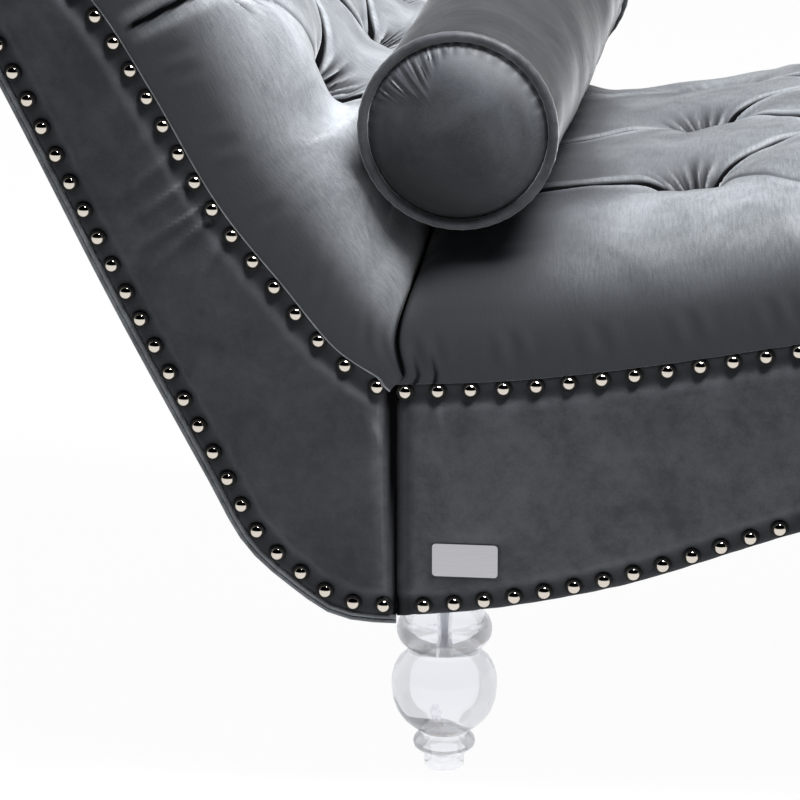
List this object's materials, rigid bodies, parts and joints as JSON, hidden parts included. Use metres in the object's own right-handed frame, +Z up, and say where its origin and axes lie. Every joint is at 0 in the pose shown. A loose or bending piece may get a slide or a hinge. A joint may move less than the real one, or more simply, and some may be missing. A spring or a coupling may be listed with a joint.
{
  "type": "chaise longue",
  "caption": "Tufted velvet chaise longue with a rolled raked back, nail-trimmed sides, a loose bolster and clear turned legs.",
  "frame": {"origin": "on the floor, under the middle of the length and of the width", "axes": "+X towards the foot end, +Y across the width, away from the side with the label plate, +Z up"},
  "size_m": [1.6093, 0.7113, 0.8477],
  "materials": {
    "velvet": "grey velvet",
    "bolster_velvet": "grey velvet",
    "acrylic": "clear, polished",
    "steel": "zinc plated",
    "plate": "satin, bare",
    "plywood": "raw",
    "foam": "open-cell foam",
    "cambric": "black cloth",
    "webbing": "woven elastic"
  },
  "bodies": {
    "chaise": {"seat_cushion": "velvet", "back_cushion": "velvet", "seat_side_panel_front": "velvet", "seat_side_panel_rear": "velvet", "back_side_panel_front": "velvet", "back_side_panel_rear": "velvet", "back_outer_panel": "velvet", "foot_end_panel": "velvet", "dust_cover": "cambric", "label_plate": "plate", "leg_rear_left": "acrylic", "leg_rear_right": "acrylic", "leg_front_left": "acrylic", "leg_front_right": "acrylic", "leg_stud_rear_left": "steel", "leg_stud_rear_right": "steel", "leg_stud_front_left": "steel", "leg_stud_front_right": "steel", "tee_nut_rear_left": "steel", "tee_nut_rear_right": "steel", "tee_nut_front_left": "steel", "tee_nut_front_right": "steel", "corner_block_rear_left": "plywood", "corner_block_rear_right": "plywood", "corner_block_front_left": "plywood", "corner_block_front_right": "plywood", "seat_side_rail_front": "plywood", "seat_side_rail_rear": "plywood", "seat_joint_rail": "plywood", "seat_middle_rail": "plywood", "foot_rail": "plywood", "foot_top_rail": "plywood", "back_side_frame_front": "plywood", "back_side_frame_rear": "plywood", "back_joint_rail": "plywood", "back_middle_rail": "plywood", "back_top_rail": "plywood", "joint_bolt_1": "steel", "joint_bolt_2": "steel", "joint_bolt_3": "steel", "joint_bolt_4": "steel", "joint_nut_1": "steel", "joint_nut_2": "steel", "joint_nut_3": "steel", "joint_nut_4": "steel", "seat_spring_1": "steel", "seat_spring_2": "steel", "seat_spring_3": "steel", "seat_spring_4": "steel", "seat_deck_cloth": "cambric", "seat_foam": "foam", "back_foam": "foam", "back_webbing_1": "webbing", "back_webbing_2": "webbing", "back_webbing_3": "webbing"},
    "bolster": {"bolster_cushion": "bolster_velvet", "bolster_piping_front": "bolster_velvet", "bolster_piping_rear": "bolster_velvet"}
  },
  "joints": [
    {"name": "bolster_lift", "type": "slide", "parent": "chaise", "child": "bolster", "axis": [0, 0, 1], "range_m": [0, 0.45]}
  ]
}
